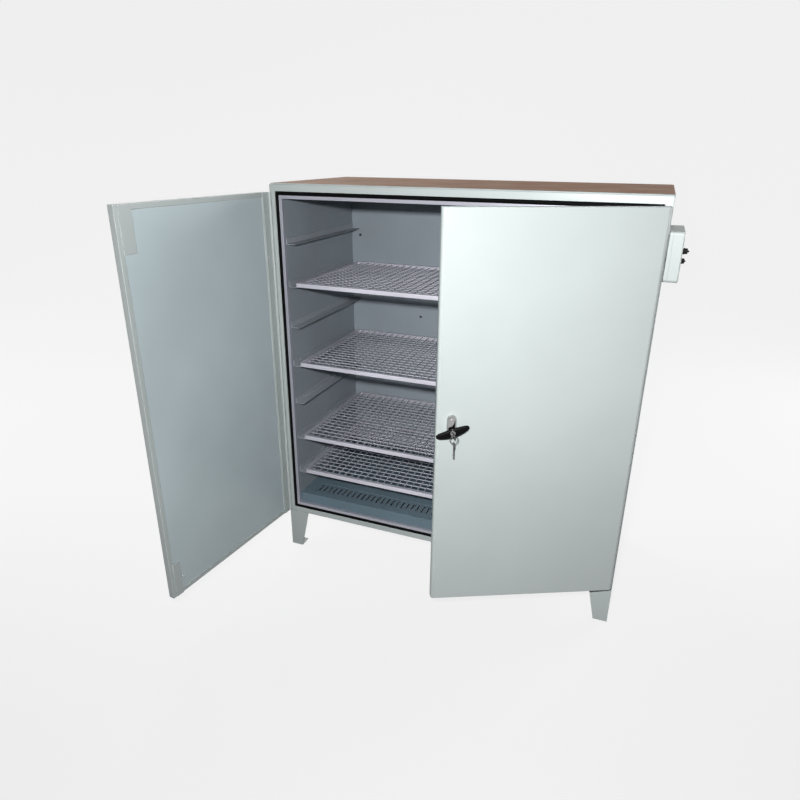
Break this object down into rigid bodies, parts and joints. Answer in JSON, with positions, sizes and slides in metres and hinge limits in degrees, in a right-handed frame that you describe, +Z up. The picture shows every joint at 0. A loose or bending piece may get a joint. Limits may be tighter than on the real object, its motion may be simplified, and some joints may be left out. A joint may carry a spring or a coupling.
{
  "type": "ceramic drying cabinet",
  "caption": "Insulated two-door drying cabinet on tapered legs, with mesh trays on side runners, a slotted heater cover and a side control box.",
  "frame": {"origin": "on the floor under the middle of the overall box, with the left door wide open and the right door ajar as at rest", "axes": "+Z up; -Y out of the front, where the doors are; +X to the right of someone who faces the front"},
  "size_m": [1.3408, 1.1486, 1.363],
  "materials": {
    "body_paint": "light grey-green enamel, semi-gloss",
    "top_paint": "taupe brown, semi-gloss",
    "panel_paint": "blue-grey, satin",
    "liner_paint": "blue-grey, satin",
    "inner_metal": "dull zinc",
    "tray_metal": "satin steel",
    "seal_rubber": "matt black",
    "bright_chrome": "polished",
    "key_steel": "plain steel",
    "black_plastic": "black, slight sheen"
  },
  "bodies": {
    "cabinet": {"left_wall": "body_paint", "right_wall": "body_paint", "floor_wall": "body_paint", "roof_wall": "body_paint", "back_wall": "body_paint", "top_sheet": "top_paint", "front_frame": "body_paint", "door_seal": "seal_rubber", "chamber_lip": "inner_metal", "chamber_liner": "liner_paint", "heater_cover": "liner_paint", "vent_grille": "liner_paint", "left_runners": "inner_metal", "right_runners": "inner_metal", "frame_hinge_leaves": "body_paint", "control_box": "body_paint", "foot_pads": "black_plastic", "front_left_leg": "body_paint", "front_right_leg": "body_paint", "back_left_leg": "body_paint", "back_right_leg": "body_paint", "tray_1_frame": "tray_metal", "tray_1_long_wires": "tray_metal", "tray_1_cross_wires": "tray_metal", "tray_2_frame": "tray_metal", "tray_2_long_wires": "tray_metal", "tray_2_cross_wires": "tray_metal", "tray_3_frame": "tray_metal", "tray_3_long_wires": "tray_metal", "tray_3_cross_wires": "tray_metal", "tray_4_frame": "tray_metal", "tray_4_long_wires": "tray_metal", "tray_4_cross_wires": "tray_metal"},
    "left_door": {"left_door_shell": "body_paint", "left_door_panel": "panel_paint", "left_hinge_leaf": "body_paint", "left_bolt_plates": "body_paint"},
    "right_door": {"right_door_shell": "body_paint", "right_door_panel": "panel_paint", "right_hinge_leaf": "body_paint", "handle_rose": "bright_chrome"},
    "handle": {"handle_lever": "black_plastic", "lock_barrel": "bright_chrome", "keys": "key_steel"},
    "thermostat": {"thermostat_knob": "black_plastic"},
    "switch": {"switch_knob": "black_plastic"}
  },
  "joints": [
    {"name": "left_door_hinge", "type": "hinge", "parent": "cabinet", "child": "left_door", "pos_m": [-0.58114, 0.01285, 0.75], "axis": [0, 0, 1], "range_deg": [-44, 96]},
    {"name": "right_door_hinge", "type": "hinge", "parent": "cabinet", "child": "right_door", "pos_m": [0.60886, 0.01285, 0.75], "axis": [0, 0, 1], "range_deg": [-26, 114]},
    {"name": "lever_turn", "type": "hinge", "parent": "right_door", "child": "handle", "pos_m": [0.12972, -0.25255, 0.744], "axis": [0.4384, -0.8988, 0], "range_deg": [-18, 72]},
    {"name": "thermostat_turn", "type": "hinge", "parent": "cabinet", "child": "thermostat", "pos_m": [0.65386, 0.08135, 1.217], "axis": [1, 0, 0], "range_deg": [-135, 135]},
    {"name": "switch_turn", "type": "hinge", "parent": "cabinet", "child": "switch", "pos_m": [0.65386, 0.10735, 1.187], "axis": [1, 0, 0], "range_deg": [-45, 45]}
  ]
}
